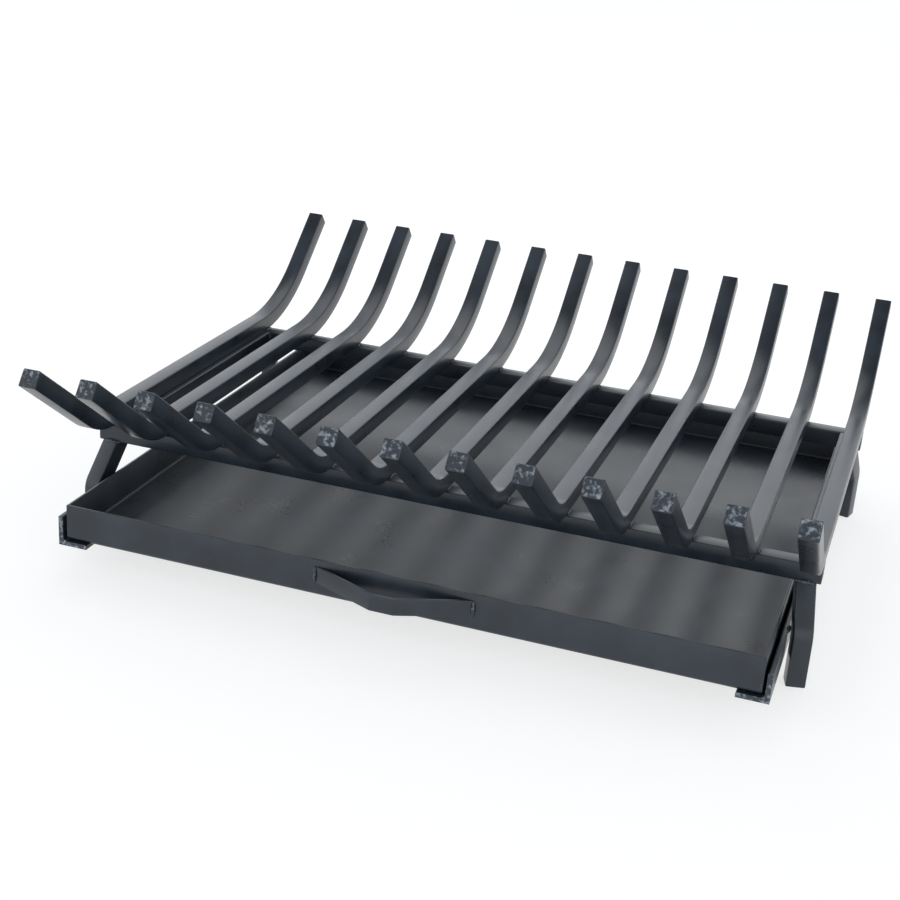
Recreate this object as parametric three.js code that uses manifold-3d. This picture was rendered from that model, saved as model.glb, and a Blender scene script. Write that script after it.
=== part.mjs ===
// Log grate for an open fireplace, with an ash pan that slides out to the front.
//
// Square steel bars, turned up at both ends to cradle the logs, lie across two crossbars.
// Two side bars close the frame. Four bent legs, splayed diagonally, stand under its corners.
// Angle rails welded between the legs carry the pan.
// Millimetres, +Z up, the pan slides out towards -Y, the feet stand on z = 0.

import * as THREE from 'three';
import { mergeVertices } from 'three/addons/utils/BufferGeometryUtils.js';
import Module from 'manifold-3d';

const wasm = await Module();
wasm.setup();

// ---------------------------------------------------------------- driving sizes

// Grate bars
const BAR_COUNT = 13;
const BAR_PITCH = 50;
const BAR_SIZE = 15;
const FRONT_BEND_LEAD = 1.5; // the front bend starts this far ahead of the front crossbar
const FRONT_BEND_RADIUS = 50; // of the bar's top face
const FRONT_BEND_ANGLE = 36.5;
const FRONT_TIP_LENGTH = 98;
const REAR_BEND_LEAD = 5; // the rear bend starts this far ahead of the rear crossbar
const REAR_BEND_RADIUS = 140; // of the bar's top face
const REAR_BEND_ANGLE = 41;
const REAR_TIP_LENGTH = 67;

// Crossbars
const CROSSBAR_SIZE = 15;
const CROSSBAR_SPACING = 300; // front face to front face

// Side bars, between the crossbars and right under the outermost grate bars
const SIDE_BAR_SIZE = 15;
const SIDE_BAR_INSET = 5; // from the crossbars' ends

// Legs
const LEG_SIZE = 15;
const LEG_HEIGHT = 77; // floor to the underside of the crossbars
const LEG_INSET = 5; // from the crossbars' ends, at the top
const LEG_SPLAY_ANGLE = 35; // of the sloping part, from the vertical
const LEG_TURN_ANGLE = 14; // in plan, outwards from straight ahead
const LEG_BEND_RADIUS = 8; // on the inside of the knee
const KNEE_HEIGHT = 41.5; // where the sloping part's middle line meets the foot's

// Rails
const RAIL_WIDTH = 25;
const RAIL_THICKNESS = 4;
const RAIL_ROOT_RADIUS = 3.5;
const RAIL_TOE_RADIUS = 1.5;
const RAIL_FLOOR_GAP = 20.5;
const RAIL_FRONT_LEAD = 94; // ahead of the front crossbar
const RAIL_REAR_LEAD = 8; // behind the pan
const RAIL_LEG_GAP = 0.3; // weld gap where a rail passes a leg

// Ash pan
const PAN_DEPTH = 490;
const PAN_HEIGHT = 31;
const PAN_FRONT_LEAD = 92; // ahead of the front crossbar
const PAN_SHEET = 2;
const PAN_FOLD_RADIUS = 4;
const PAN_SIDE_CLEARANCE = 2.5;
const PAN_RUNNING_CLEARANCE = 0.5;

// Pan handle
const HANDLE_THICKNESS = 3;
const HANDLE_HEIGHT = 14;
const HANDLE_SPREAD = 124; // between the outsides of its two ends
const HANDLE_FLAT = 19; // straight middle part
const HANDLE_REACH = 25; // from the pan's front to the handle's outer face
const HANDLE_BEND_RADIUS = 3; // on the inside of each bend
const HANDLE_RIM_DROP = 5.5; // from the pan's rim down to the handle's top edge

// Mill-rounded long edges of the square bars, and how finely the bends are cut
const EDGE_CHAMFER = 0.8;
const BEND_STEPS = 8;
const SMALL_BEND_STEPS = 5;

// ---------------------------------------------------------------- worked-out places
// y is counted from the front crossbar's front face, rearwards, until the parts are placed.

const radians = THREE.MathUtils.degToRad;

const outerBarX = BAR_PITCH * (BAR_COUNT - 1) / 2;
const grateWidth = 2 * outerBarX + BAR_SIZE;

const crossbarBottom = LEG_HEIGHT;
const barBottom = crossbarBottom + CROSSBAR_SIZE;
const barMiddleZ = barBottom + BAR_SIZE / 2;
const rearCrossbarY = CROSSBAR_SPACING;

const sideBarX = grateWidth / 2 - SIDE_BAR_INSET - SIDE_BAR_SIZE / 2;

const legTopX = grateWidth / 2 - LEG_INSET - LEG_SIZE / 2;
const splay = radians(LEG_SPLAY_ANGLE);
const turn = radians(LEG_TURN_ANGLE);
const legReach = (LEG_HEIGHT - KNEE_HEIGHT) * Math.tan(splay);
const slopeHalfWidth = LEG_SIZE / 2 * (Math.cos(turn) + Math.sin(turn) / Math.cos(splay));

const railTop = RAIL_FLOOR_GAP + RAIL_WIDTH;
const legReachAtRail = Math.min(legReach, (LEG_HEIGHT - railTop) * Math.tan(splay));
const legInnerX = legTopX + legReachAtRail * Math.sin(turn) - slopeHalfWidth;
const railOuterX = legInnerX - RAIL_LEG_GAP;
const railInnerX = railOuterX - RAIL_THICKNESS;
const railRearY = PAN_DEPTH - PAN_FRONT_LEAD + RAIL_REAR_LEAD;

const panWidth = 2 * (railInnerX - PAN_SIDE_CLEARANCE);
const panBottom = RAIL_FLOOR_GAP + RAIL_THICKNESS + PAN_RUNNING_CLEARANCE;
const panRim = panBottom + PAN_HEIGHT;

const barCorners = grateBarCorners();
const frontTip = barCorners[0];
const rearTip = barCorners[barCorners.length - 1];
const tipFrontY = frontTip.x - BAR_SIZE / 2 * Math.sin(radians(FRONT_BEND_ANGLE));
const tipRearY = rearTip.x + BAR_SIZE / 2 * Math.sin(radians(REAR_BEND_ANGLE));
const handleFrontY = -PAN_FRONT_LEAD - HANDLE_REACH;
const frontmostY = Math.min(tipFrontY, handleFrontY, -RAIL_FRONT_LEAD);
const middleY = (frontmostY + tipRearY) / 2;

// ---------------------------------------------------------------- shared forms

// One corner of a bent bar's middle line, in the plane of the bends.
function corner(x, y, insideRadius = 0) {
  return { x, y, insideRadius };
}

// Points of one side of a bent bar, offset to the left of its middle line.
function sideOfBentBar(corners, halfThickness, offset, steps) {
  const points = [];
  corners.forEach((here, index) => {
    const before = corners[index - 1];
    const after = corners[index + 1];
    const arriving = before && new THREE.Vector2(here.x - before.x, here.y - before.y).normalize();
    const leaving = after && new THREE.Vector2(after.x - here.x, after.y - here.y).normalize();
    if (!before || !after) {
      const along = arriving || leaving;
      points.push(new THREE.Vector2(here.x - along.y * offset, here.y + along.x * offset));
      return;
    }
    const bend = Math.atan2(arriving.cross(leaving), arriving.dot(leaving));
    const side = Math.sign(bend);
    const radius = here.insideRadius + halfThickness;
    const tangent = radius * Math.tan(Math.abs(bend) / 2);
    const centreX = here.x - arriving.x * tangent - arriving.y * radius * side;
    const centreY = here.y - arriving.y * tangent + arriving.x * radius * side;
    const firstAngle = Math.atan2(-arriving.x * side, arriving.y * side);
    const ownRadius = radius - side * offset;
    for (let step = 0; step <= steps; step += 1) {
      const angle = firstAngle + bend * step / steps;
      points.push(new THREE.Vector2(
        centreX + ownRadius * Math.cos(angle),
        centreY + ownRadius * Math.sin(angle),
      ));
    }
  });
  return points;
}

// Closed outline of a bar that is bent at its inner corners.
function bentBarOutline(corners, thickness, steps) {
  const half = thickness / 2;
  const left = sideOfBentBar(corners, half, half, steps);
  const right = sideOfBentBar(corners, half, -half, steps);
  return [...left, ...right.reverse()];
}

// Prism with its middle at zero along the extrusion, long edges chamfered if asked.
function prism(outline, length, chamfer = 0) {
  const geometry = new THREE.ExtrudeGeometry(new THREE.Shape(outline), {
    depth: length - 2 * chamfer,
    bevelEnabled: chamfer > 0,
    bevelThickness: chamfer,
    bevelSize: chamfer,
    bevelOffset: -chamfer,
    bevelSegments: 1,
  });
  geometry.translate(0, 0, chamfer - length / 2);
  return geometry;
}

const X = new THREE.Vector3(1, 0, 0);
const Y = new THREE.Vector3(0, 1, 0);
const Z = new THREE.Vector3(0, 0, 1);
const outlineInYZ = new THREE.Matrix4().makeBasis(Y, Z, X);
const outlineInXZ = new THREE.Matrix4().makeBasis(X, Z, Y.clone().negate());

function arc(centreX, centreY, radius, fromDegrees, toDegrees) {
  const points = [];
  for (let step = 0; step <= SMALL_BEND_STEPS; step += 1) {
    const angle = radians(fromDegrees + (toDegrees - fromDegrees) * step / SMALL_BEND_STEPS);
    points.push(new THREE.Vector2(
      centreX + radius * Math.cos(angle),
      centreY + radius * Math.sin(angle),
    ));
  }
  return points;
}

// ---------------------------------------------------------------- solids for booleans

function solidFrom(geometry) {
  const positionsOnly = geometry.clone();
  positionsOnly.deleteAttribute('normal');
  positionsOnly.deleteAttribute('uv');
  const merged = mergeVertices(positionsOnly, 1e-4);
  return new wasm.Manifold(new wasm.Mesh({
    numProp: 3,
    vertProperties: new Float32Array(merged.attributes.position.array),
    triVerts: new Uint32Array(merged.index.array),
  }));
}

function geometryFrom(solid) {
  const mesh = solid.getMesh();
  const geometry = new THREE.BufferGeometry();
  geometry.setAttribute('position', new THREE.BufferAttribute(mesh.vertProperties, 3));
  geometry.setIndex(new THREE.BufferAttribute(mesh.triVerts, 1));
  geometry.computeVertexNormals();
  return geometry;
}

// ---------------------------------------------------------------- the pieces' forms

// Middle line of a grate bar, from the front tip to the rear tip.
function grateBarCorners() {
  const frontAngle = radians(FRONT_BEND_ANGLE);
  const rearAngle = radians(REAR_BEND_ANGLE);
  const frontTangent = (FRONT_BEND_RADIUS + BAR_SIZE / 2) * Math.tan(frontAngle / 2);
  const rearTangent = (REAR_BEND_RADIUS + BAR_SIZE / 2) * Math.tan(rearAngle / 2);
  const frontY = -FRONT_BEND_LEAD - frontTangent;
  const rearY = rearCrossbarY - REAR_BEND_LEAD + rearTangent;
  const frontRun = frontTangent + FRONT_TIP_LENGTH;
  const rearRun = rearTangent + REAR_TIP_LENGTH;
  return [
    corner(frontY - frontRun * Math.cos(frontAngle), barMiddleZ + frontRun * Math.sin(frontAngle)),
    corner(frontY, barMiddleZ, FRONT_BEND_RADIUS),
    corner(rearY, barMiddleZ, REAR_BEND_RADIUS),
    corner(rearY + rearRun * Math.cos(rearAngle), barMiddleZ + rearRun * Math.sin(rearAngle)),
  ];
}

function grateBar() {
  const outline = bentBarOutline(barCorners, BAR_SIZE, BEND_STEPS);
  return prism(outline, BAR_SIZE, EDGE_CHAMFER).applyMatrix4(outlineInYZ);
}

// Straight square bar with its middle at zero, lying along X.
function straightBar(length, size) {
  const outline = [
    new THREE.Vector2(-length / 2, -size / 2),
    new THREE.Vector2(length / 2, -size / 2),
    new THREE.Vector2(length / 2, size / 2),
    new THREE.Vector2(-length / 2, size / 2),
  ];
  return prism(outline, size, EDGE_CHAMFER).applyMatrix4(outlineInXZ);
}

// One leg: cut off flat under the frame, sloping out to the knee, then straight down.
// It is bent in its own YZ plane, outwards along +Y.
function leg() {
  const stubHeight = LEG_SIZE;
  const stubReach = stubHeight * Math.tan(splay);
  const corners = [
    corner(-stubReach, LEG_HEIGHT + stubHeight),
    corner(legReach, KNEE_HEIGHT, LEG_BEND_RADIUS),
    corner(legReach, 0),
  ];
  const outline = bentBarOutline(corners, LEG_SIZE, SMALL_BEND_STEPS);
  const bent = prism(outline, LEG_SIZE, EDGE_CHAMFER).applyMatrix4(outlineInYZ);
  const aboveFrame = new THREE.BoxGeometry(4 * LEG_SIZE, 8 * LEG_SIZE, 4 * LEG_SIZE);
  aboveFrame.translate(0, 0, LEG_HEIGHT + 2 * LEG_SIZE);
  return geometryFrom(solidFrom(bent).subtract(solidFrom(aboveFrame)));
}

// Rolled angle: upright against the legs, ledge pointing inwards under the pan.
// side is -1 for the left rail and +1 for the right one.
function rail(side) {
  const toe = RAIL_TOE_RADIUS;
  const root = RAIL_THICKNESS + RAIL_ROOT_RADIUS;
  const section = [
    new THREE.Vector2(0, 0),
    new THREE.Vector2(RAIL_WIDTH, 0),
    ...arc(RAIL_WIDTH - toe, RAIL_THICKNESS - toe, toe, 0, 90),
    ...arc(root, root, RAIL_ROOT_RADIUS, 270, 180),
    ...arc(RAIL_THICKNESS - toe, RAIL_WIDTH - toe, toe, 0, 90),
    new THREE.Vector2(0, RAIL_WIDTH),
  ];
  const outline = section.map((point) => new THREE.Vector2(
    side * (railOuterX - point.x),
    RAIL_FLOOR_GAP + point.y,
  ));
  return prism(outline, RAIL_FRONT_LEAD + railRearY).applyMatrix4(outlineInXZ);
}

// Section of a box with its two lower edges folded round.
function foldedSection(width, height, radius) {
  const side = width / 2;
  return [
    ...arc(-side + radius, radius, radius, 180, 270),
    ...arc(side - radius, radius, radius, 270, 360),
    new THREE.Vector2(side, height),
    new THREE.Vector2(-side, height),
  ];
}

// Solid block with all four lower edges folded round, standing on z = 0.
function foldedBlock(width, depth, height, radius) {
  const acrossX = prism(foldedSection(width, height, radius), depth).applyMatrix4(outlineInXZ);
  const acrossY = prism(foldedSection(depth, height, radius), width).applyMatrix4(outlineInYZ);
  return solidFrom(acrossX).intersect(solidFrom(acrossY));
}

// Open tray folded from one sheet.
function ashPan() {
  const outside = foldedBlock(panWidth, PAN_DEPTH, PAN_HEIGHT, PAN_FOLD_RADIUS);
  const inside = foldedBlock(
    panWidth - 2 * PAN_SHEET,
    PAN_DEPTH - 2 * PAN_SHEET,
    PAN_HEIGHT,
    PAN_FOLD_RADIUS - PAN_SHEET,
  ).translate([0, 0, PAN_SHEET]);
  return geometryFrom(outside.subtract(inside));
}

// Strip bowed out from the pan's front, cut off flat where it meets the wall (y = 0).
function panHandle() {
  const half = HANDLE_THICKNESS / 2;
  const middleReach = half - HANDLE_REACH;
  const slopeRun = (HANDLE_SPREAD - HANDLE_FLAT) / 2;
  const endX = HANDLE_SPREAD / 2 + slopeRun;
  const corners = [
    corner(-endX, -middleReach),
    corner(-HANDLE_FLAT / 2, middleReach, HANDLE_BEND_RADIUS),
    corner(HANDLE_FLAT / 2, middleReach, HANDLE_BEND_RADIUS),
    corner(endX, -middleReach),
  ];
  const strip = prism(bentBarOutline(corners, HANDLE_THICKNESS, SMALL_BEND_STEPS), HANDLE_HEIGHT);
  const behindWall = new THREE.BoxGeometry(4 * HANDLE_SPREAD, HANDLE_REACH * 4, HANDLE_HEIGHT * 2);
  behindWall.translate(0, HANDLE_REACH * 2, 0);
  return geometryFrom(solidFrom(strip).subtract(solidFrom(behindWall)));
}

// ---------------------------------------------------------------- the object

const grate = new THREE.Group();
grate.position.y = -middleY;

const pan = new THREE.Group();
grate.add(pan);

function blackPaint(shade) {
  return new THREE.MeshStandardMaterial({ color: shade, roughness: 0.45, metalness: 0.3 });
}

function place(group, name, geometry, shade, x, y, z) {
  const mesh = new THREE.Mesh(geometry, blackPaint(shade));
  mesh.name = name;
  mesh.position.set(x, y, z);
  group.add(mesh);
}

const BAR_SHADE = 0x3b424a;
const FRAME_SHADE = 0x363d45;
const PAN_SHADE = 0x3f464e;

for (let index = 0; index < BAR_COUNT; index += 1) {
  const name = `grate_bar_${String(index + 1).padStart(2, '0')}`;
  place(grate, name, grateBar(), BAR_SHADE, -outerBarX + index * BAR_PITCH, 0, 0);
}

const frameMiddleZ = crossbarBottom + CROSSBAR_SIZE / 2;
const frontCrossbarMiddleY = CROSSBAR_SIZE / 2;
const rearCrossbarMiddleY = rearCrossbarY + CROSSBAR_SIZE / 2;
for (const [name, y] of [
  ['front_crossbar', frontCrossbarMiddleY],
  ['rear_crossbar', rearCrossbarMiddleY],
]) {
  place(grate, name, straightBar(grateWidth, CROSSBAR_SIZE), FRAME_SHADE, 0, y, frameMiddleZ);
}

const sideBarLength = CROSSBAR_SPACING - CROSSBAR_SIZE;
const sideBarMiddleY = (CROSSBAR_SIZE + rearCrossbarY) / 2;
const sideBarMiddleZ = barBottom - SIDE_BAR_SIZE / 2;
for (const [name, side] of [['left_side_bar', -1], ['right_side_bar', 1]]) {
  const bar = straightBar(sideBarLength, SIDE_BAR_SIZE).rotateZ(Math.PI / 2);
  place(grate, name, bar, FRAME_SHADE, side * sideBarX, sideBarMiddleY, sideBarMiddleZ);
}

for (const [name, side, y, plan] of [
  ['front_left_leg', -1, frontCrossbarMiddleY, Math.PI - turn],
  ['front_right_leg', 1, frontCrossbarMiddleY, turn - Math.PI],
  ['rear_left_leg', -1, rearCrossbarMiddleY, turn],
  ['rear_right_leg', 1, rearCrossbarMiddleY, -turn],
]) {
  place(grate, name, leg().rotateZ(plan), FRAME_SHADE, side * legTopX, y, 0);
}

const railMiddleY = (railRearY - RAIL_FRONT_LEAD) / 2;
place(grate, 'left_rail', rail(-1), FRAME_SHADE, 0, railMiddleY, 0);
place(grate, 'right_rail', rail(1), FRAME_SHADE, 0, railMiddleY, 0);

const panMiddleY = PAN_DEPTH / 2 - PAN_FRONT_LEAD;
const handleMiddleZ = panRim - HANDLE_RIM_DROP - HANDLE_HEIGHT / 2;
place(pan, 'ash_pan', ashPan(), PAN_SHADE, 0, panMiddleY, panBottom);
place(pan, 'pan_handle', panHandle(), PAN_SHADE, 0, -PAN_FRONT_LEAD, handleMiddleZ);

export default grate;
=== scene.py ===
"""Log grate of square steel bars with a sliding ash pan, dressed for a studio picture.

The bars, frame, angle rails and folded pan are modelled again with rolled edges, true bends and
sawn ends. Weld beads are added. All of it wears satin stove paint.
"""

import math
import random

import bmesh
import bpy
from mathutils import Matrix, Vector


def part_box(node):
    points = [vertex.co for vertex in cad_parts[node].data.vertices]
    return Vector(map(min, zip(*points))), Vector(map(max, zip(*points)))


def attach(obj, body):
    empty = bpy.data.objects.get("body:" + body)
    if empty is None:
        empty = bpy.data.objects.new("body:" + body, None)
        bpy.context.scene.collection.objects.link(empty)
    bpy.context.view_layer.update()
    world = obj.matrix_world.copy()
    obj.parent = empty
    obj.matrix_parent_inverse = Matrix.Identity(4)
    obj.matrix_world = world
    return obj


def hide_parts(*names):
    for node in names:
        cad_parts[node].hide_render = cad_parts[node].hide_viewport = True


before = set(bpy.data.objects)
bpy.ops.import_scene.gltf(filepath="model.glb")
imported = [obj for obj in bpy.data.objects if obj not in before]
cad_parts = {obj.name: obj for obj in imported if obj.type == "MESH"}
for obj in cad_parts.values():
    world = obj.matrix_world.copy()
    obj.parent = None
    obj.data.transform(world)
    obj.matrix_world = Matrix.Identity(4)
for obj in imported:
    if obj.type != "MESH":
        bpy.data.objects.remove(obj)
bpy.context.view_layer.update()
MM = 0.001
randomness = random.Random(7)


# ---------------------------------------------------------------- camera

CAMERA_PLACE = (0.358, -1.2726, 0.5981)
CAMERA_YAW = 17.51  # degrees, turned to the left of straight ahead
CAMERA_PITCH = 22.01  # degrees below the horizon
CAMERA_ROLL = 4.14  # degrees
CAMERA_LENS = 63.3  # mm, on a sensor 36 mm wide
SENSOR_WIDTH = 36


def add_camera():
    bpy.ops.object.select_all(action="DESELECT")
    bpy.ops.object.camera_add()
    camera = bpy.context.object
    camera.name = "camera"
    camera.data.sensor_width = SENSOR_WIDTH
    camera.data.lens = CAMERA_LENS
    turn = Matrix.Rotation(math.radians(CAMERA_YAW), 4, "Z")
    tilt = Matrix.Rotation(math.radians(90 - CAMERA_PITCH), 4, "X")
    roll = Matrix.Rotation(math.radians(CAMERA_ROLL), 4, "Z")
    camera.matrix_world = Matrix.Translation(CAMERA_PLACE) @ turn @ tilt @ roll
    bpy.context.scene.camera = camera


add_camera()


# ---------------------------------------------------------------- material helpers

def srgb(code):
    """A hex colour such as 3a4148 as linear red, green and blue with full alpha."""
    parts = [int(code[i:i + 2], 16) / 255 for i in (0, 2, 4)]
    linear = [c / 12.92 if c <= 0.04045 else ((c + 0.055) / 1.055) ** 2.4 for c in parts]
    return (*linear, 1.0)


def new_material(name):
    material = bpy.data.materials.new(name)
    material.use_nodes = True
    material.node_tree.nodes.clear()
    return material, material.node_tree


def add_node(tree, kind, inputs=None, out=0, **settings):
    """Adds a node and gives back one of its outputs. An input is a value or another output."""
    node = tree.nodes.new(kind)
    for key, value in settings.items():
        setattr(node, key, value)
    for key, value in (inputs or {}).items():
        if isinstance(value, bpy.types.NodeSocket):
            tree.links.new(value, node.inputs[key])
        else:
            node.inputs[key].default_value = value
    return node.outputs[out] if len(node.outputs) else node


def noise(tree, vector, size_mm, detail=3.0):
    """Noise whose blotches are about size_mm across."""
    return add_node(
        tree, "ShaderNodeTexNoise",
        {"Vector": vector, "Scale": 1 / (size_mm * MM), "Detail": detail},
    )


def spread(tree, value, low, high, from_value=0.0, to_value=1.0):
    """Turns low to high into from_value to to_value."""
    return add_node(
        tree, "ShaderNodeMapRange", {0: value, 1: low, 2: high, 3: from_value, 4: to_value},
    )


def blend_colours(tree, share, first, second):
    return add_node(
        tree, "ShaderNodeMix", {0: share, 6: first, 7: second}, 2, data_type="RGBA",
    )


def bump(tree, height, depth_mm, relief=None):
    inputs = {"Height": height, "Strength": 1.0, "Distance": depth_mm * MM}
    if relief:
        inputs["Normal"] = relief
    return add_node(tree, "ShaderNodeBump", inputs)


def finish_material(tree, shader):
    add_node(tree, "ShaderNodeOutputMaterial", {"Surface": shader})


# ---------------------------------------------------------------- stove paint

# Heat-resistant stove paint: silicone resin with fine black pigment, sprayed and baked. It is
# satin, nearly black with a blue-grey cast, and mirrors a pale room softly at a low angle.
PAINT_DARK = "1d232a"
PAINT_LIGHT = "29313a"
PAINT_IOR = 1.5
PAINT_TOOTH_MM = 1.2  # the real tooth is near 0.1 mm and is drawn coarser, so that it shows
PAINT_CLOUD_MM = 40  # where the coat went on thicker or thinner
ROLLED_MARK_MM = 3  # across the bar: marks that the rolling mill left along it
ROLLED_MARK_STRETCH = 25
SHEET_WAVE_MM = 130  # slow waves of a thin sheet
PAINT_TOOTH_DEPTH_MM = 0.035
ROLLED_MARK_DEPTH_MM = 0.06
SHEET_WAVE_DEPTH_MM = 1.2


def stove_paint(name, gloss, along=None, sheet=False):
    """gloss is the middle roughness. along is X, Y or Z, the way that rolled marks run."""
    material, tree = new_material(name)
    place = add_node(tree, "ShaderNodeTexCoord", out="Object")
    cloud = noise(tree, place, PAINT_CLOUD_MM, 4.0)
    coat = blend_colours(
        tree, spread(tree, cloud, 0.35, 0.65), srgb(PAINT_DARK), srgb(PAINT_LIGHT),
    )
    roughness = spread(tree, cloud, 0.3, 0.7, gloss - 0.04, gloss + 0.05)
    relief = bump(tree, noise(tree, place, PAINT_TOOTH_MM, 2.0), PAINT_TOOTH_DEPTH_MM)
    if along:
        stretch = [1.0, 1.0, 1.0]
        stretch["XYZ".index(along)] = 1 / ROLLED_MARK_STRETCH
        stretched = add_node(tree, "ShaderNodeMapping", {"Vector": place, "Scale": stretch})
        marks = noise(tree, stretched, ROLLED_MARK_MM)
        relief = bump(tree, marks, ROLLED_MARK_DEPTH_MM, relief)
    if sheet:
        waves = noise(tree, place, SHEET_WAVE_MM, 1.0)
        relief = bump(tree, waves, SHEET_WAVE_DEPTH_MM, relief)
    finish_material(tree, add_node(
        tree, "ShaderNodeBsdfPrincipled",
        {"Base Color": coat, "Roughness": roughness, "Normal": relief, "IOR": PAINT_IOR},
    ))
    return material


SAW_MARK_MM = 1.4  # finer than this would not show
SAW_CHIP_MM = 3.5
SAW_MARK_DEPTH_MM = 0.5
SAW_CHIP_DEPTH_MM = 0.8


def sawn_end():
    """Sawn bar end: coarse tooth marks and small burrs that the paint covers only thinly."""
    material, tree = new_material("thinly_painted_sawn_end")
    place = add_node(tree, "ShaderNodeTexCoord", out="Object")
    chips = noise(tree, place, SAW_CHIP_MM, 4.0)
    colour = blend_colours(tree, spread(tree, chips, 0.5, 0.68), srgb("2b323a"), srgb("8b949d"))
    relief = bump(tree, noise(tree, place, SAW_MARK_MM, 4.0), SAW_MARK_DEPTH_MM)
    relief = bump(tree, chips, SAW_CHIP_DEPTH_MM, relief)
    finish_material(tree, add_node(
        tree, "ShaderNodeBsdfPrincipled",
        {"Base Color": colour, "Roughness": 0.42, "Normal": relief, "IOR": PAINT_IOR},
    ))
    return material


WELD_LUMP_MM = 1.5
WELD_LUMP_DEPTH_MM = 0.3


def weld_bead_paint():
    """Weld bead: steel that froze in ripples, painted thinly over. Its crests are coloured
    lighter, partly bare steel under thin paint and partly a painted highlight.
    """
    material, tree = new_material("weld_bead_with_painted_highlight")
    place = add_node(tree, "ShaderNodeTexCoord", out="Object")
    lumps = noise(tree, place, WELD_LUMP_MM)
    # lighter on the crests: partly thin paint over steel, partly a painted highlight
    colour = blend_colours(tree, spread(tree, lumps, 0.48, 0.72), srgb("20262d"), srgb("5a636c"))
    finish_material(tree, add_node(
        tree, "ShaderNodeBsdfPrincipled",
        {
            "Base Color": colour, "Roughness": 0.27, "IOR": PAINT_IOR,
            "Normal": bump(tree, lumps, WELD_LUMP_DEPTH_MM),
        },
    ))
    return material


painted_bar = stove_paint("painted_square_bar", 0.3, "Y")
painted_crossbar = stove_paint("painted_crossbar", 0.3, "X")
painted_leg = stove_paint("painted_leg", 0.32, "Z")
painted_angle = stove_paint("painted_rolled_angle", 0.34, "Y")
painted_sheet = stove_paint("painted_folded_sheet", 0.3, sheet=True)
painted_strip = stove_paint("painted_handle_strip", 0.34, "X")
thin_paint_end = sawn_end()
weld_bead_with_painted_highlight = weld_bead_paint()


# ---------------------------------------------------------------- modelling helpers

BEND_STEPS = 16
ROUNDING_STEPS = 3
SHARPEST_SMOOTH_ANGLE = math.radians(35)
NEAR = 0.1 * MM  # closer than this counts as the same place


def begin(size, centre, turn=(0, 0, 0), cube=False):
    """Adds a plane or a cube of the given size at its place and opens it for editing."""
    bpy.ops.object.select_all(action="DESELECT")
    add = bpy.ops.mesh.primitive_cube_add if cube else bpy.ops.mesh.primitive_plane_add
    add(size=1, location=centre, rotation=turn)
    bpy.context.object.scale = size
    bpy.ops.object.transform_apply(location=True, rotation=True, scale=True)
    bpy.ops.object.mode_set(mode="EDIT")
    bpy.ops.mesh.select_mode(type="FACE")
    bpy.ops.mesh.select_all(action="SELECT")
    return bpy.context.object


def pick_faces(test):
    """Selects the faces whose middle and normal pass the test."""
    bpy.ops.mesh.select_mode(type="FACE")
    bpy.ops.mesh.select_all(action="DESELECT")
    mesh = bpy.context.object.data
    for face in bmesh.from_edit_mesh(mesh).faces:
        if test(face.calc_center_median(), face.normal):
            face.select_set(True)
    bmesh.update_edit_mesh(mesh)


def pick_edges(test):
    """Selects the edges whose two ends together pass the test."""
    bpy.ops.mesh.select_mode(type="EDGE")
    bpy.ops.mesh.select_all(action="DESELECT")
    mesh = bpy.context.object.data
    for edge in bmesh.from_edit_mesh(mesh).edges:
        if test(edge.verts[0].co, edge.verts[1].co):
            edge.select_set(True)
    bmesh.update_edit_mesh(mesh)


def pull(move):
    bpy.ops.mesh.extrude_region_move(TRANSFORM_OT_translate={"value": tuple(move)})


def bend(angle, centre, axis):
    """Draws the selected face round an arc. The spin tool counts its angle clockwise."""
    bpy.ops.mesh.spin(steps=BEND_STEPS, angle=-angle, center=tuple(centre), axis=axis)


SAW_BURR = 0.5 * MM  # the ends' edges are broken by this much


def saw_off(centre, direction, section):
    """Ends the selected face of a bar: the last half millimetre tapers to a broken edge."""
    pull(Vector(direction) * SAW_BURR)
    share = 1 - 2 * SAW_BURR / section
    tip = Vector(centre) + Vector(direction) * SAW_BURR
    bpy.ops.transform.resize(value=(share, share, share), center_override=tuple(tip))


def close_mesh(piece, name, material, smooth=SHARPEST_SMOOTH_ANGLE, end_directions=()):
    """Merges doubles, turns faces outwards, marks sawn ends, and names and paints the piece."""
    bpy.ops.mesh.select_all(action="SELECT")
    bpy.ops.mesh.remove_doubles(threshold=0.001 * MM)
    bpy.ops.mesh.select_all(action="SELECT")
    bpy.ops.mesh.normals_make_consistent(inside=False)
    piece.name = name
    piece.data.materials.clear()
    piece.data.materials.append(material)
    if end_directions:
        piece.data.materials.append(thin_paint_end)
        pick_faces(lambda middle, normal: any(normal.dot(d) > 0.999 for d in end_directions))
        piece.active_material_index = 1
        bpy.ops.object.material_slot_assign()
    bpy.ops.object.mode_set(mode="OBJECT")
    bpy.ops.object.select_all(action="DESELECT")
    piece.select_set(True)
    bpy.context.view_layer.objects.active = piece
    bpy.ops.object.shade_smooth_by_angle(angle=smooth)
    return piece


def hand_over(piece, body, node=None):
    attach(piece, body)
    if node:
        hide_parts(node)


def copy_piece(pattern, name, place):
    """A copy with its own mesh, moved or turned by the matrix place."""
    piece = pattern.copy()
    piece.data = pattern.data.copy()
    piece.name = name
    piece.data.transform(place)
    bpy.context.scene.collection.objects.link(piece)
    return piece


# ---------------------------------------------------------------- grate bars

BAR = 15 * MM  # side of the square bar
BAR_EDGE = 1.1 * MM  # rounding of hot-rolled square bar
FRONT_BEND = math.radians(36.5)
FRONT_BEND_RADIUS = 57.5 * MM  # to the bar's middle line, like the rear one
FRONT_TIP = 98 * MM  # straight run of the tip
REAR_BEND = math.radians(41)
REAR_BEND_RADIUS = 147.5 * MM
REAR_TIP = 67 * MM
FRONT_BEND_LEAD = 1.5 * MM  # the bend starts this far ahead of the front crossbar
REAR_BEND_LEAD = 5 * MM  # and this far ahead of the rear crossbar's front face

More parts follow.
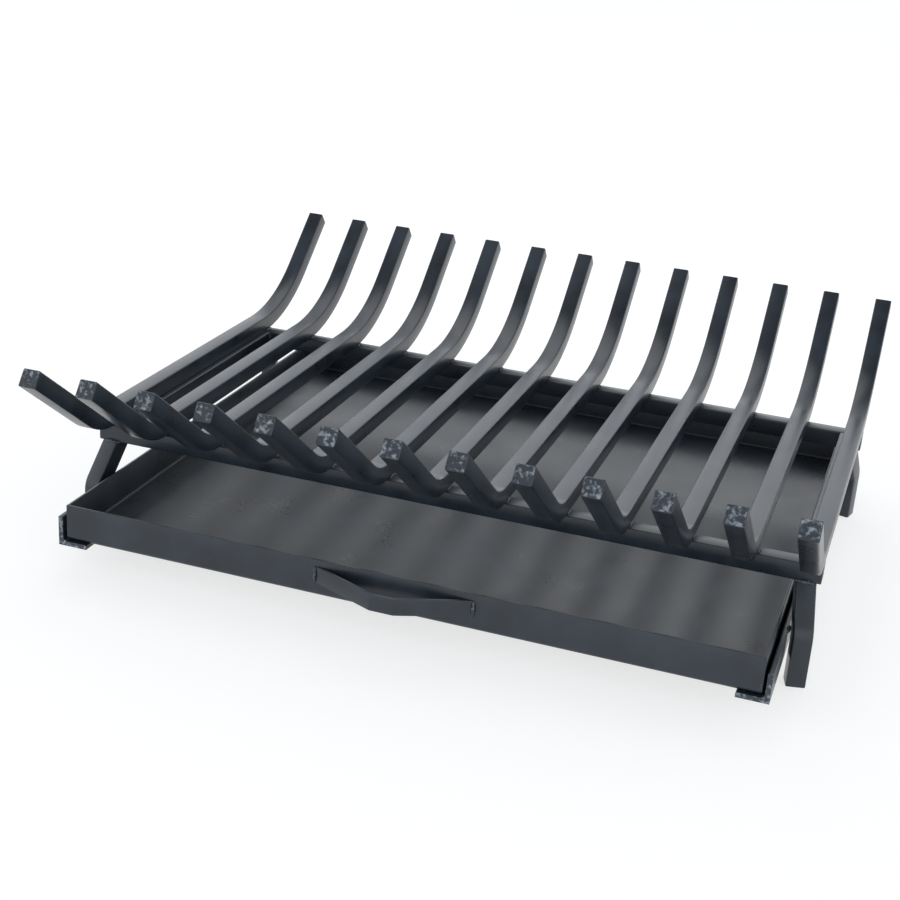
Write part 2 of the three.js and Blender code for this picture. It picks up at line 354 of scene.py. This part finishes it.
front_low, front_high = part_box("front_crossbar")
rear_low, rear_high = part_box("rear_crossbar")
bar_names = sorted(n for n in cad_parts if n.startswith("grate_bar"))
bar_boxes = [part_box(n) for n in bar_names]
bar_middles = [(low.x + high.x) / 2 for low, high in bar_boxes]
seam_z = front_high.z
bar_z = seam_z + BAR / 2


def model_grate_bar():
    """One bar at x = 0. It is drawn from the front bend's start rearwards, then forwards."""
    front_start = Vector((0, front_low.y - FRONT_BEND_LEAD, bar_z))
    rear_start = Vector((0, rear_low.y - REAR_BEND_LEAD, bar_z))
    front_way = Vector((0, -math.cos(FRONT_BEND), math.sin(FRONT_BEND)))
    rear_way = Vector((0, math.cos(REAR_BEND), math.sin(REAR_BEND)))
    piece = begin((BAR, BAR, 1), front_start, (math.radians(90), 0, 0))
    bpy.ops.mesh.bevel(offset=BAR_EDGE, segments=ROUNDING_STEPS, affect="VERTICES")
    bpy.ops.mesh.select_all(action="SELECT")

    pull(rear_start - front_start)
    rear_centre = rear_start + Vector((0, 0, REAR_BEND_RADIUS))
    bend(REAR_BEND, rear_centre, (1, 0, 0))
    bend_end = rear_centre + REAR_BEND_RADIUS * Vector(
        (0, math.sin(REAR_BEND), -math.cos(REAR_BEND)),
    )
    pull(rear_way * (REAR_TIP - SAW_BURR))
    saw_off(bend_end + rear_way * (REAR_TIP - SAW_BURR), rear_way, BAR)

    pick_faces(lambda middle, normal: (middle - front_start).length < NEAR)
    front_centre = front_start + Vector((0, 0, FRONT_BEND_RADIUS))
    bend(-FRONT_BEND, front_centre, (1, 0, 0))
    bend_end = front_centre + FRONT_BEND_RADIUS * Vector(
        (0, -math.sin(FRONT_BEND), -math.cos(FRONT_BEND)),
    )
    pull(front_way * (FRONT_TIP - SAW_BURR))
    saw_off(bend_end + front_way * (FRONT_TIP - SAW_BURR), front_way, BAR)
    return close_mesh(piece, "bar_pattern", painted_bar, end_directions=(front_way, rear_way))


bar_pattern = model_grate_bar()
for bar_name, middle_x in zip(bar_names, bar_middles):
    bar = copy_piece(bar_pattern, f"painted_{bar_name}", Matrix.Translation((middle_x, 0, 0)))
    hand_over(bar, "grate", bar_name)
bpy.data.objects.remove(bar_pattern)


# ---------------------------------------------------------------- crossbars and side bars

def model_straight_bar(node, axis, material):
    """A straight square bar that fills the node's box, drawn along X or Y."""
    low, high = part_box(node)
    middle = (low + high) / 2
    way = Vector((1, 0, 0)) if axis == "X" else Vector((0, 1, 0))
    half = (high - low).dot(way) / 2
    turn = (0, math.radians(90), 0) if axis == "X" else (math.radians(90), 0, 0)
    piece = begin((BAR, BAR, 1), middle, turn)
    bpy.ops.mesh.bevel(offset=BAR_EDGE, segments=ROUNDING_STEPS, affect="VERTICES")
    bpy.ops.mesh.select_all(action="SELECT")
    pull(way * (half - SAW_BURR))
    saw_off(middle + way * (half - SAW_BURR), way, BAR)
    pick_faces(lambda place, normal: (place - middle).length < NEAR)
    pull(-way * (half - SAW_BURR))
    saw_off(middle - way * (half - SAW_BURR), -way, BAR)
    close_mesh(piece, f"painted_{node}", material, end_directions=(way, -way))
    hand_over(piece, "grate", node)


for node_name in ("front_crossbar", "rear_crossbar"):
    model_straight_bar(node_name, "X", painted_crossbar)
for node_name in ("left_side_bar", "right_side_bar"):
    model_straight_bar(node_name, "Y", painted_bar)


# ---------------------------------------------------------------- legs

KNEE_HEIGHT = 41.5 * MM
KNEE_RADIUS = 15.5 * MM  # to the bar's middle line
LEG_SPLAY = math.radians(35)
LEG_TURN = math.radians(14)
LEG_TOP_X = 295 * MM
LEG_CUT_CLEARANCE = 20 * MM  # the sloping part is drawn this much too long, then cut


def model_leg():
    """One leg with the middle of its top at x = y = 0, sloping out along +Y to its knee."""
    top = front_low.z
    reach = (top - KNEE_HEIGHT) * math.tan(LEG_SPLAY)
    knee_start = KNEE_HEIGHT - KNEE_RADIUS * math.tan(LEG_SPLAY / 2)
    foot = Vector((0, reach, SAW_BURR))
    piece = begin((BAR, BAR, 1), foot)
    bpy.ops.mesh.bevel(offset=BAR_EDGE, segments=ROUNDING_STEPS, affect="VERTICES")
    bpy.ops.mesh.select_all(action="SELECT")
    pull((0, 0, knee_start - SAW_BURR))
    bend(LEG_SPLAY, (0, reach - KNEE_RADIUS, knee_start), (1, 0, 0))
    slope = Vector((0, -math.sin(LEG_SPLAY), math.cos(LEG_SPLAY)))
    pull(slope * (top - knee_start + LEG_CUT_CLEARANCE))
    pick_faces(lambda middle, normal: (middle - foot).length < NEAR)
    saw_off(foot, (0, 0, -1), BAR)
    bpy.ops.mesh.select_all(action="SELECT")
    bpy.ops.mesh.bisect(plane_co=(0, 0, top), plane_no=(0, 0, 1), use_fill=True, clear_outer=True)
    return close_mesh(piece, "leg_pattern", painted_leg, end_directions=(Vector((0, 0, -1)),))


leg_pattern = model_leg()
for node_name, side, crossbar, plan in (
    ("front_left_leg", -1, (front_low, front_high), math.pi - LEG_TURN),
    ("front_right_leg", 1, (front_low, front_high), LEG_TURN - math.pi),
    ("rear_left_leg", -1, (rear_low, rear_high), LEG_TURN),
    ("rear_right_leg", 1, (rear_low, rear_high), -LEG_TURN),
):
    middle_y = (crossbar[0].y + crossbar[1].y) / 2
    place = Matrix.Translation((side * LEG_TOP_X, middle_y, 0)) @ Matrix.Rotation(plan, 4, "Z")
    leg = copy_piece(leg_pattern, f"painted_{node_name}", place)
    hand_over(leg, "grate", node_name)
bpy.data.objects.remove(leg_pattern)


# ---------------------------------------------------------------- rails

ANGLE_THICKNESS = 4 * MM
ANGLE_ROOT_RADIUS = 3.5 * MM
ANGLE_TOE_RADIUS = 1.5 * MM
ANGLE_ROUNDING_STEPS = 5


def model_rail(node):
    """Rolled angle: an L-shaped section drawn along Y, then rounded at its root and toes."""
    low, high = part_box(node)
    side = math.copysign(1, low.x)
    outer = high.x if side > 0 else low.x
    inner = low.x if side > 0 else high.x
    root_x = outer - side * ANGLE_THICKNESS
    root_z = low.z + ANGLE_THICKNESS
    heel = Vector(((outer + root_x) / 2, low.y, (low.z + root_z) / 2))
    piece = begin((ANGLE_THICKNESS, ANGLE_THICKNESS, 1), heel, (math.radians(90), 0, 0))
    for way, length in (
        (Vector((0, 0, 1)), high.z - root_z),
        (Vector((-side, 0, 0)), abs(inner - root_x)),
    ):
        edge_middle = heel + way * ANGLE_THICKNESS / 2
        pick_edges(lambda a, b: ((a + b) / 2 - edge_middle).length < NEAR)
        bpy.ops.mesh.extrude_edges_move(TRANSFORM_OT_translate={"value": tuple(way * length)})
    bpy.ops.mesh.select_mode(type="FACE")
    bpy.ops.mesh.select_all(action="SELECT")
    bpy.ops.mesh.dissolve_faces()
    pull((0, high.y - low.y, 0))
    for radius, lines in (
        (ANGLE_ROOT_RADIUS, ((root_x, root_z),)),
        (ANGLE_TOE_RADIUS, ((root_x, high.z), (inner, root_z))),
    ):
        pick_edges(lambda a, b: abs(a.y - b.y) > MM and any(
            math.hypot(a.x - x, a.z - z) < NEAR for x, z in lines))
        bpy.ops.mesh.bevel(offset=radius, segments=ANGLE_ROUNDING_STEPS, affect="EDGES")
    ends = (Vector((0, 1, 0)), Vector((0, -1, 0)))
    close_mesh(piece, f"painted_{node}", painted_angle, end_directions=ends)
    hand_over(piece, "grate", node)


for node_name in ("left_rail", "right_rail"):
    model_rail(node_name)


# ---------------------------------------------------------------- ash pan

SHEET = 2 * MM
FOLD_RADIUS = 4 * MM  # outside
FOLD_STEPS = 6
RIM_ROUNDING = 0.4 * MM

pan_low, pan_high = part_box("ash_pan")


def model_pan():
    """A tray folded from one sheet: a box opened at its top, folded round, then given its wall."""
    piece = begin(tuple(pan_high - pan_low), (pan_low + pan_high) / 2, cube=True)
    pick_faces(lambda middle, normal: normal.z > 0.9)
    bpy.ops.mesh.delete(type="FACE")
    pick_edges(lambda a, b: max(a.z, b.z) < pan_low.z + NEAR)
    bpy.ops.mesh.bevel(offset=FOLD_RADIUS, segments=FOLD_STEPS, affect="EDGES")
    bpy.ops.object.mode_set(mode="OBJECT")
    wall = piece.modifiers.new("sheet", "SOLIDIFY")
    wall.thickness = SHEET
    wall.offset = -1
    wall.use_even_offset = True
    bpy.ops.object.modifier_apply(modifier=wall.name)
    bpy.ops.object.mode_set(mode="EDIT")
    pick_faces(lambda middle, normal: middle.z > pan_high.z - NEAR)
    bpy.ops.mesh.region_to_loop()
    bpy.ops.mesh.bevel(offset=RIM_ROUNDING, segments=2, affect="EDGES")
    close_mesh(piece, "painted_ash_pan", painted_sheet)
    hand_over(piece, "pan", "ash_pan")


model_pan()


# ---------------------------------------------------------------- pan handle

STRIP_THICKNESS = 3 * MM
STRIP_EDGE = 0.6 * MM
HANDLE_BEND_RADIUS = 4.5 * MM  # to the strip's middle line
HANDLE_FLAT = 19 * MM  # between the corners of its middle line
HANDLE_END_X = 62 * MM  # where its middle line meets the pan

handle_low, handle_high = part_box("pan_handle")


def model_handle():
    """Flat strip bent at two places, cut off flat against the pan's front."""
    half_flat = HANDLE_FLAT / 2
    rise = pan_low.y - handle_low.y - STRIP_THICKNESS / 2
    angle = math.atan2(rise, HANDLE_END_X - half_flat)
    bend_start = half_flat - HANDLE_BEND_RADIUS * math.tan(angle / 2)
    middle = Vector((0, handle_low.y + STRIP_THICKNESS / 2, (handle_low.z + handle_high.z) / 2))
    height = handle_high.z - handle_low.z
    piece = begin((height, STRIP_THICKNESS, 1), middle, (0, math.radians(90), 0))
    bpy.ops.mesh.bevel(offset=STRIP_EDGE, segments=2, affect="VERTICES")
    bpy.ops.mesh.select_all(action="SELECT")
    for side in (1, -1):
        if side < 0:
            pick_faces(lambda place, normal: (place - middle).length < NEAR)
        pull((side * bend_start, 0, 0))
        centre = middle + Vector((side * bend_start, HANDLE_BEND_RADIUS, 0))
        bend(side * angle, centre, (0, 0, 1))
        slope = Vector((side * math.cos(angle), math.sin(angle), 0))
        pull(slope * (handle_high.x + STRIP_THICKNESS))
    bpy.ops.mesh.select_all(action="SELECT")
    bpy.ops.mesh.bisect(
        plane_co=(0, pan_low.y, 0), plane_no=(0, 1, 0), use_fill=True, clear_outer=True,
    )
    close_mesh(piece, "painted_pan_handle", painted_strip)
    hand_over(piece, "pan", "pan_handle")


model_handle()


# ---------------------------------------------------------------- weld beads

BEAD_LENGTH = 14 * MM
BEAD_RADIUS = 2.4 * MM
BEAD_SIDES = 10
BEAD_RIPPLES = 6
RINGS_A_RIPPLE = 3
RIPPLE_SWELL = (0.8, 1.0, 0.94)  # of the bead's width, over one ripple
BEAD_END_SHARE = 0.35  # of the bead's width, at both ends


def model_bead():
    """One bead along Z: a disc pulled out ripple by ripple, narrow at both ends."""
    bpy.ops.object.select_all(action="DESELECT")
    bpy.ops.mesh.primitive_circle_add(
        vertices=BEAD_SIDES, radius=BEAD_RADIUS * BEAD_END_SHARE, fill_type="NGON",
        location=(0, 0, -BEAD_LENGTH / 2),
    )
    piece = bpy.context.object
    bpy.ops.object.transform_apply(location=True, rotation=True, scale=True)
    bpy.ops.object.mode_set(mode="EDIT")
    bpy.ops.mesh.select_all(action="SELECT")
    rings = BEAD_RIPPLES * RINGS_A_RIPPLE
    width = BEAD_END_SHARE
    for ring in range(1, rings + 1):
        step = BEAD_LENGTH / rings
        pull((0, 0, step))
        dome = math.sin(math.pi * ring / rings) ** 0.4 if ring < rings else 0
        wanted = max(BEAD_END_SHARE, dome * RIPPLE_SWELL[ring % RINGS_A_RIPPLE])
        share = wanted / width
        ring_middle = (0, 0, -BEAD_LENGTH / 2 + ring * step)
        bpy.ops.transform.resize(value=(share, share, 1), center_override=ring_middle)
        width = wanted
    return close_mesh(piece, "bead_pattern", weld_bead_with_painted_highlight, math.radians(60))


def lay_beads(name, places, body):
    """Joins one bead for each (point, direction, length, swell) of places into a single piece."""
    beads = []
    for point, direction, length, swell in places:
        aim = Vector((0, 0, 1)).rotation_difference(Vector(direction)).to_matrix().to_4x4()
        spin = Matrix.Rotation(randomness.uniform(0, math.tau), 4, "Z")
        width = swell * randomness.uniform(0.88, 1.12)
        size = Matrix.Diagonal((width, width, length / BEAD_LENGTH, 1))
        beads.append(copy_piece(bead_pattern, name, Matrix.Translation(point) @ aim @ spin @ size))
    bpy.ops.object.select_all(action="DESELECT")
    for bead in beads:
        bead.select_set(True)
    bpy.context.view_layer.objects.active = beads[0]
    bpy.ops.object.join()
    piece = bpy.context.object
    piece.name = name
    hand_over(piece, body)


def along_bar_sides(crossbar_low, crossbar_high):
    """Both sides of every bar, on top of a crossbar."""
    middle_y = (crossbar_low.y + crossbar_high.y) / 2
    return [
        ((x + side * BAR / 2, middle_y + randomness.uniform(-1, 1) * MM, seam_z),
         (0, 1, 0), BAR * randomness.uniform(0.6, 0.85), 0.75)
        for x in bar_middles for side in (-1, 1)
        if front_low.x + MM < x + side * BAR / 2 < front_high.x - MM
    ]


bead_pattern = model_bead()
lay_beads("front_bar_welds", along_bar_sides(front_low, front_high), "grate")
lay_beads("rear_bar_welds", along_bar_sides(rear_low, rear_high), "grate")

# Each leg is welded to its crossbar along the crossbar's outer edge and on the leg's inner side.
leg_seams = []
for leg_side in (-1, 1):
    for end_y, middle_y in (
        (front_low.y, (front_low.y + front_high.y) / 2),
        (rear_high.y, (rear_low.y + rear_high.y) / 2),
    ):
        across = (leg_side * LEG_TOP_X, end_y, front_low.z)
        inside = (leg_side * (LEG_TOP_X - BAR / 2), middle_y, front_low.z)
        leg_seams.append((across, (1, 0, 0), BAR, 1.1))
        leg_seams.append((inside, (0, 1, 0), BAR * 0.8, 1.0))
lay_beads("leg_welds", leg_seams, "grate")

# Each side bar is welded to both crossbars, and in a long ragged run to the outer bar above it.
SIDE_RUN_BEADS = 5
SIDE_RUN_STEP = 12 * MM
side_seams = []
for side_bar in ("left_side_bar", "right_side_bar"):
    low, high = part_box(side_bar)
    bar_side = math.copysign(1, low.x)
    inner = low.x if bar_side > 0 else high.x
    outer = high.x if bar_side > 0 else low.x
    for end_y in (low.y, high.y):
        side_seams.append(((inner, end_y, (low.z + high.z) / 2), (0, 0, 1), BAR * 0.85, 0.8))
    for bead_number in range(SIDE_RUN_BEADS):
        bead_y = high.y - (2.5 + bead_number) * SIDE_RUN_STEP
        side_seams.append(
            ((outer + bar_side * MM, bead_y, seam_z - MM), (0, 1, 0), SIDE_RUN_STEP, 0.7),
        )
lay_beads("side_bar_welds", side_seams, "grate")

# Each rail is welded to its legs along the rail's top edge.
rail_seams = []
for rail_name, rail_side in (("left_rail", "left"), ("right_rail", "right")):
    low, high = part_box(rail_name)
    outer = low.x if rail_side == "left" else high.x
    for end in ("front", "rear"):
        leg_low, leg_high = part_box(f"{end}_{rail_side}_leg")
        foot_y = leg_low.y + BAR / 2 if end == "front" else leg_high.y - BAR / 2
        rail_seams.append(((outer, foot_y, high.z - MM), (0, 1, 0), BAR * 0.8, 0.8))
lay_beads("rail_welds", rail_seams, "grate")

# The pan's corners are closed by a bead low down, and its handle is tacked on at both ends.
corner_seams = [
    ((x, y, pan_low.z + 8 * MM), (0, 0, 1), 9 * MM, 0.55)
    for x in (pan_low.x + MM, pan_high.x - MM) for y in (pan_low.y + MM, pan_high.y - MM)
]
lay_beads("pan_corner_welds", corner_seams, "pan")
handle_middle_z = (handle_low.z + handle_high.z) / 2
handle_seams = [
    ((side * (handle_high.x - MM), pan_low.y - MM, handle_middle_z), (0, 0, 1), BAR * 0.9, 0.8)
    for side in (-1, 1)
]
lay_beads("handle_welds", handle_seams, "pan")
bpy.data.objects.remove(bead_pattern)


# ---------------------------------------------------------------- floor and light

FLOOR_SIZE = 40
PAPER_GLOW = 1.18  # strength of the white that the camera and the paint's gloss see
SHADOW_SHARE = 0.4  # how much of the paper's own shading the camera sees
ROOM_SIDES = 1.65  # brightness of the pale walls round the grate
ROOM_TOP = 0.2  # brightness straight overhead
WALLS_TOP = 0.45  # sine of the elevation where the pale walls start to darken
CEILING_START = 0.85
LAMP_PLACE = Vector((-0.6, 1.2, 2.4))
LAMP_SIZE = 1.6
LAMP_WATTS = 14


def add_floor():
    """Pale seamless paper. The camera sees it near white, with the grate's soft shadow kept."""
    bpy.ops.object.select_all(action="DESELECT")
    bpy.ops.mesh.primitive_plane_add(size=FLOOR_SIZE)
    floor = bpy.context.object
    floor.name = "floor"
    material, tree = new_material("white_paper")
    paper = add_node(
        tree, "ShaderNodeBsdfPrincipled", {"Base Color": srgb("f4f5f6"), "Roughness": 0.9},
    )
    glow = add_node(tree, "ShaderNodeEmission", {"Color": srgb("ffffff"), "Strength": PAPER_GLOW})
    rays = tree.nodes.new("ShaderNodeLightPath")
    seen = add_node(
        tree, "ShaderNodeMath",
        {0: rays.outputs["Is Camera Ray"], 1: rays.outputs["Is Glossy Ray"]}, operation="MAXIMUM",
    )
    share = add_node(tree, "ShaderNodeMath", {0: seen, 1: 1 - SHADOW_SHARE}, operation="MULTIPLY")
    finish_material(tree, add_node(tree, "ShaderNodeMixShader", {0: share, 1: paper, 2: glow}))
    floor.data.materials.append(material)


def light_scene():
    """A pale room that darkens overhead, and one soft lamp above."""
    world = bpy.data.worlds.new("studio")
    bpy.context.scene.world = world
    world.use_nodes = True
    tree = world.node_tree
    tree.nodes.clear()
    direction = add_node(tree, "ShaderNodeTexCoord", out="Generated")
    height = add_node(tree, "ShaderNodeSeparateXYZ", {"Vector": direction}, "Z")
    strength = spread(tree, height, WALLS_TOP, CEILING_START, ROOM_SIDES, ROOM_TOP)
    sky = add_node(tree, "ShaderNodeBackground", {"Color": srgb("f4f8fc"), "Strength": strength})
    add_node(tree, "ShaderNodeOutputWorld", {"Surface": sky})

    bpy.ops.object.select_all(action="DESELECT")
    bpy.ops.object.light_add(type="AREA", location=LAMP_PLACE)
    lamp = bpy.context.object
    lamp.name = "softbox"
    lamp.data.size = LAMP_SIZE
    lamp.data.energy = LAMP_WATTS
    lamp.rotation_euler = LAMP_PLACE.to_track_quat("Z", "Y").to_euler()
    bpy.context.scene.view_settings.view_transform = "Standard"


add_floor()
light_scene()
